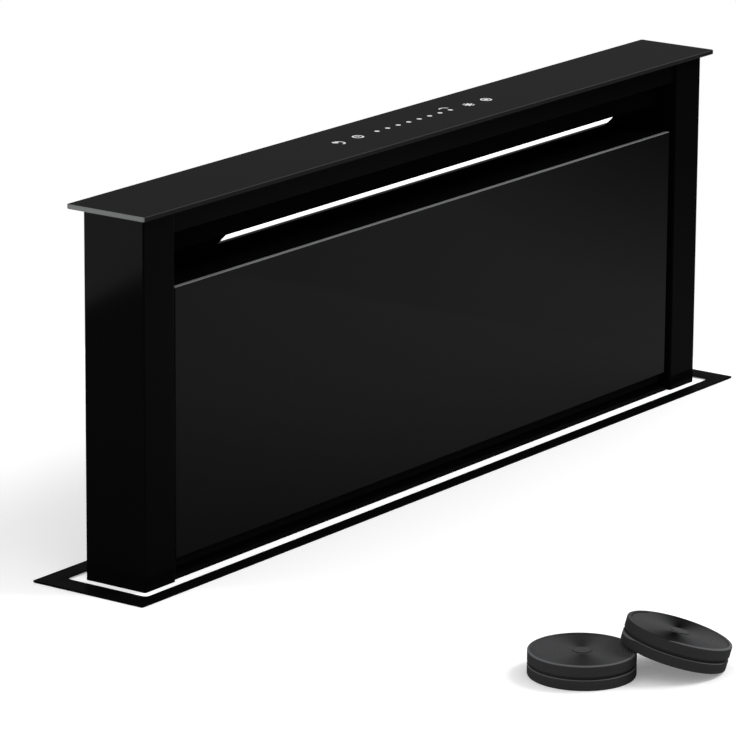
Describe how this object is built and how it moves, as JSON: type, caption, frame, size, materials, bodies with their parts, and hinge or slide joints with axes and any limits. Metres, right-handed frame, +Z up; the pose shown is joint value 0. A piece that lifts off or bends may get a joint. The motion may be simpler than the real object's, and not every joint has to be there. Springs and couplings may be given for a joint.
{
  "type": "downdraft vent",
  "caption": "Rising downdraft vent for a worktop: glass-fronted tower on a belt lift with light bar, suction slot and grease filters, over a case with boxed blower and duct collar.",
  "frame": {"origin": "centre of the worktop cut-out, on the worktop's top face", "axes": "+X along the vent to the right as the cook sees it, -Y towards the cook, +Z up along the tower's lift"},
  "size_m": [0.88, 0.5753, 0.759],
  "materials": {
    "black_glass": "polished tempered glass, black on its back face",
    "black_steel": "satin black powder coat on steel sheet",
    "flange_steel": "matt black fine-texture powder coat",
    "zinc_steel": "galvanised sheet steel",
    "bright_steel": "ground and polished steel",
    "aluminium": "anodised profile and rolled mesh",
    "lit_diffuser": "opal diffuser, lit",
    "light_board": "white solder mask",
    "circuit_board": "green solder mask with bare pads",
    "black_plastic": "moulded, fine texture",
    "grey_plastic": "moulded, fine texture",
    "charcoal_plastic": "moulded cassette with fine ridges",
    "black_rubber": "matt",
    "acetal": "natural acetal"
  },
  "bodies": {
    "root": {"worktop_flange": "flange_steel", "flange_gasket": "black_rubber", "case_front_panel": "zinc_steel", "case_rear_panel": "zinc_steel", "case_floor_tray": "zinc_steel", "case_left_end": "zinc_steel", "case_right_end": "zinc_steel", "guide_rail_left": "aluminium", "guide_rail_right": "aluminium", "support_bracket_left": "zinc_steel", "support_bracket_right": "zinc_steel", "timing_belt_left": "black_rubber", "timing_belt_right": "black_rubber", "shaft_bearing_left": "acetal", "shaft_bearing_right": "acetal", "lift_motor": "zinc_steel", "blower_box": "zinc_steel", "blower_cover": "zinc_steel", "scroll_left": "grey_plastic", "scroll_right": "grey_plastic", "blower_motor": "zinc_steel", "inlet_ring_left": "black_plastic", "inlet_ring_right": "black_plastic", "outlet_collar": "black_plastic", "damper_pin": "bright_steel", "control_box": "black_plastic", "control_box_lid": "black_plastic", "cable_gland": "black_plastic", "carbon_filter_flat": "charcoal_plastic", "carbon_filter_leaning": "charcoal_plastic"},
    "tower": {"top_cap_glass": "black_glass", "cap_tray": "black_steel", "control_board": "circuit_board", "left_column": "black_steel", "right_column": "black_steel", "rear_shell": "black_steel", "upper_fascia": "black_steel", "light_bar": "black_steel", "led_diffuser": "lit_diffuser", "led_board": "light_board", "air_baffle": "black_steel", "lower_crossmember": "black_steel", "grease_filter_left": "aluminium", "grease_filter_right": "aluminium", "lift_bracket_left": "acetal", "lift_bracket_right": "acetal"},
    "front_panel": {"front_glass_panel": "black_glass", "panel_frame": "black_steel"},
    "latch_left": {"filter_latch_left": "black_plastic"},
    "latch_right": {"filter_latch_right": "black_plastic"},
    "lift_shaft": {"cross_shaft": "bright_steel", "drive_pulley_left": "acetal", "drive_pulley_right": "acetal", "shaft_gear": "acetal"},
    "idler_left": {"idler_pulley_left": "acetal"},
    "idler_right": {"idler_pulley_right": "acetal"},
    "motor_pinion": {"motor_gear": "bright_steel"},
    "fan": {"impeller": "black_plastic"},
    "damper_left": {"damper_flap_left": "black_plastic"},
    "damper_right": {"damper_flap_right": "black_plastic"}
  },
  "joints": [
    {"name": "tower_lift", "type": "slide", "parent": "root", "child": "tower", "axis": [0, 0, 1], "range_m": [-0.31025, 0]},
    {"name": "panel_lift", "type": "slide", "parent": "tower", "child": "front_panel", "axis": [0, 0, 1], "range_m": [0, 0.012]},
    {"name": "filter_latch_left_slide", "type": "slide", "parent": "tower", "child": "latch_left", "axis": [0, 0, 1], "range_m": [-0.004, 0], "stiffness_N_per_m": 400, "springref_m": 0.002},
    {"name": "filter_latch_right_slide", "type": "slide", "parent": "tower", "child": "latch_right", "axis": [0, 0, 1], "range_m": [-0.004, 0], "stiffness_N_per_m": 400, "springref_m": 0.002},
    {"name": "cross_shaft_spin", "type": "hinge", "parent": "root", "child": "lift_shaft", "pos_m": [0, -0.012, -0.418], "axis": [1, 0, 0], "range_deg": [-1976, 0]},
    {"name": "idler_left_spin", "type": "hinge", "parent": "root", "child": "idler_left", "pos_m": [-0.4155, -0.012, -0.026], "axis": [1, 0, 0], "range_deg": [-1976, 0]},
    {"name": "idler_right_spin", "type": "hinge", "parent": "root", "child": "idler_right", "pos_m": [0.4155, -0.012, -0.026], "axis": [1, 0, 0], "range_deg": [-1976, 0]},
    {"name": "motor_gear_spin", "type": "hinge", "parent": "root", "child": "motor_pinion", "pos_m": [0.335, 0.01745, -0.418], "axis": [1, 0, 0], "range_deg": [0, 3162]},
    {"name": "impeller_spin", "type": "hinge", "parent": "root", "child": "fan", "pos_m": [0, -0.14675, -0.3], "axis": [1, 0, 0], "continuous": true},
    {"name": "damper_left_swing", "type": "hinge", "parent": "root", "child": "damper_left", "pos_m": [0, -0.26225, -0.355], "axis": [0, 0, 1], "range_deg": [0, 75], "stiffness_Nm_per_rad": 0.02, "springref_deg": -5.73},
    {"name": "damper_right_swing", "type": "hinge", "parent": "root", "child": "damper_right", "pos_m": [0, -0.26225, -0.355], "axis": [0, 0, 1], "range_deg": [-75, 0], "stiffness_Nm_per_rad": 0.02, "springref_deg": 5.73}
  ],
  "couplings": [
    {"joint": "cross_shaft_spin", "follows": "tower_lift", "rad_per_m": 111.11},
    {"joint": "idler_left_spin", "follows": "tower_lift", "rad_per_m": 111.11},
    {"joint": "idler_right_spin", "follows": "tower_lift", "rad_per_m": 111.11},
    {"joint": "motor_gear_spin", "follows": "tower_lift", "rad_per_m": -177.78}
  ]
}
